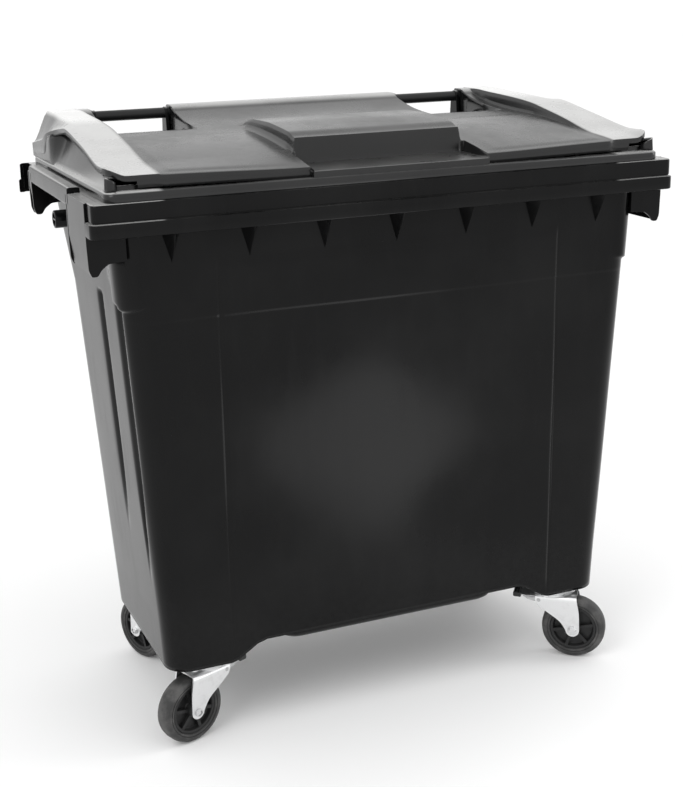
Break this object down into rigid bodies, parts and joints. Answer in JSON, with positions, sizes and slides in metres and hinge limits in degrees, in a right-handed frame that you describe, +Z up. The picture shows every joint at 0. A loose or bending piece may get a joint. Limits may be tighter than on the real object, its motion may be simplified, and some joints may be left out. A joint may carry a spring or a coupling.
{
  "type": "four-wheeled wheelie bin",
  "caption": "Large four-wheeled wheelie bin with a tapered tub, comb lifting rim, side trunnions, flat hinged lid, rear handle rods and swivel castors with brakes.",
  "frame": {"origin": "on the ground under the middle of the bin's outline", "axes": "+Z up, -Y to the front that the lid opens from, +X to the right seen from the front"},
  "size_m": [1.37, 0.77, 1.385],
  "materials": {
    "tub_plastic": "black moulded polyethylene, semi-gloss",
    "lid_plastic": "black moulded polyethylene, semi-gloss, a little dusty",
    "rod_plastic": "black satin",
    "seal_rubber": "matt black",
    "tyre_rubber": "solid dark grey rubber",
    "wheel_plastic": "black moulded core",
    "zinc_steel": "bright zinc plate on pressed steel",
    "fastener_steel": "zinc plate",
    "pedal_steel": "plated steel, darker than the fork"
  },
  "bodies": {
    "chassis": {"tub": "tub_plastic", "handle_rod_left": "rod_plastic", "handle_rod_right": "rod_plastic", "trunnion_left": "tub_plastic", "trunnion_right": "tub_plastic", "drain_seal": "seal_rubber", "lid_buffer_front_left": "seal_rubber", "lid_buffer_front_right": "seal_rubber", "lid_buffer_rear_left": "seal_rubber", "lid_buffer_rear_right": "seal_rubber", "mount_plate_front_left": "zinc_steel", "kingpin_front_left": "fastener_steel", "mount_bolt_front_left_1": "fastener_steel", "mount_bolt_front_left_2": "fastener_steel", "mount_bolt_front_left_3": "fastener_steel", "mount_bolt_front_left_4": "fastener_steel", "mount_plate_front_right": "zinc_steel", "kingpin_front_right": "fastener_steel", "mount_bolt_front_right_1": "fastener_steel", "mount_bolt_front_right_2": "fastener_steel", "mount_bolt_front_right_3": "fastener_steel", "mount_bolt_front_right_4": "fastener_steel", "mount_plate_rear_left": "zinc_steel", "kingpin_rear_left": "fastener_steel", "mount_bolt_rear_left_1": "fastener_steel", "mount_bolt_rear_left_2": "fastener_steel", "mount_bolt_rear_left_3": "fastener_steel", "mount_bolt_rear_left_4": "fastener_steel", "mount_plate_rear_right": "zinc_steel", "kingpin_rear_right": "fastener_steel", "mount_bolt_rear_right_1": "fastener_steel", "mount_bolt_rear_right_2": "fastener_steel", "mount_bolt_rear_right_3": "fastener_steel", "mount_bolt_rear_right_4": "fastener_steel"},
    "lid": {"lid": "lid_plastic"},
    "drain_plug": {"drain_plug": "tub_plastic"},
    "castor_front_left": {"fork_front_left": "zinc_steel", "axle_bolt_front_left": "fastener_steel", "axle_nut_front_left": "fastener_steel"},
    "wheel_front_left": {"tyre_front_left": "tyre_rubber", "wheel_core_front_left": "wheel_plastic"},
    "pedal_front_left": {"brake_pedal_front_left": "pedal_steel"},
    "castor_front_right": {"fork_front_right": "zinc_steel", "axle_bolt_front_right": "fastener_steel", "axle_nut_front_right": "fastener_steel"},
    "wheel_front_right": {"tyre_front_right": "tyre_rubber", "wheel_core_front_right": "wheel_plastic"},
    "pedal_front_right": {"brake_pedal_front_right": "pedal_steel"},
    "castor_rear_left": {"fork_rear_left": "zinc_steel", "axle_bolt_rear_left": "fastener_steel", "axle_nut_rear_left": "fastener_steel"},
    "wheel_rear_left": {"tyre_rear_left": "tyre_rubber", "wheel_core_rear_left": "wheel_plastic"},
    "castor_rear_right": {"fork_rear_right": "zinc_steel", "axle_bolt_rear_right": "fastener_steel", "axle_nut_rear_right": "fastener_steel"},
    "wheel_rear_right": {"tyre_rear_right": "tyre_rubber", "wheel_core_rear_right": "wheel_plastic"}
  },
  "joints": [
    {"name": "lid_hinge", "type": "hinge", "parent": "chassis", "child": "lid", "pos_m": [0, 0.35, 1.366], "axis": [-1, 0, 0], "range_deg": [0, 230]},
    {"name": "drain_plug_turn", "type": "hinge", "parent": "chassis", "child": "drain_plug", "pos_m": [0, -0.09, 0.195], "axis": [0, 0, 1], "range_deg": [0, 90]},
    {"name": "castor_swivel_front_left", "type": "hinge", "parent": "chassis", "child": "castor_front_left", "pos_m": [-0.46, -0.262, 0.173], "axis": [0, 0, 1], "continuous": true},
    {"name": "wheel_spin_front_left", "type": "hinge", "parent": "castor_front_left", "child": "wheel_front_left", "pos_m": [-0.51356, -0.2815, 0.08], "axis": [0.342, -0.9397, 0], "continuous": true},
    {"name": "brake_pedal_front_left", "type": "hinge", "parent": "castor_front_left", "child": "pedal_front_left", "pos_m": [-0.43181, -0.25174, 0.156], "axis": [0.342, -0.9397, 0], "range_deg": [-14, 0]},
    {"name": "castor_swivel_front_right", "type": "hinge", "parent": "chassis", "child": "castor_front_right", "pos_m": [0.46, -0.262, 0.173], "axis": [0, 0, 1], "continuous": true},
    {"name": "wheel_spin_front_right", "type": "hinge", "parent": "castor_front_right", "child": "wheel_front_right", "pos_m": [0.50492, -0.29709, 0.08], "axis": [0.6157, 0.788, 0], "continuous": true},
    {"name": "brake_pedal_front_right", "type": "hinge", "parent": "castor_front_right", "child": "pedal_front_right", "pos_m": [0.43636, -0.24353, 0.156], "axis": [0.6157, 0.788, 0], "range_deg": [-14, 0]},
    {"name": "castor_swivel_rear_left", "type": "hinge", "parent": "chassis", "child": "castor_rear_left", "pos_m": [-0.47, 0.12, 0.173], "axis": [0, 0, 1], "continuous": true},
    {"name": "wheel_spin_rear_left", "type": "hinge", "parent": "castor_rear_left", "child": "wheel_rear_left", "pos_m": [-0.49409, 0.17166, 0.08], "axis": [-0.9063, -0.4226, 0], "continuous": true},
    {"name": "castor_swivel_rear_right", "type": "hinge", "parent": "chassis", "child": "castor_rear_right", "pos_m": [0.455, 0.12, 0.173], "axis": [0, 0, 1], "continuous": true},
    {"name": "wheel_spin_rear_right", "type": "hinge", "parent": "castor_rear_right", "child": "wheel_rear_right", "pos_m": [0.42824, 0.17033, 0.08], "axis": [-0.8829, -0.4695, 0], "continuous": true}
  ]
}
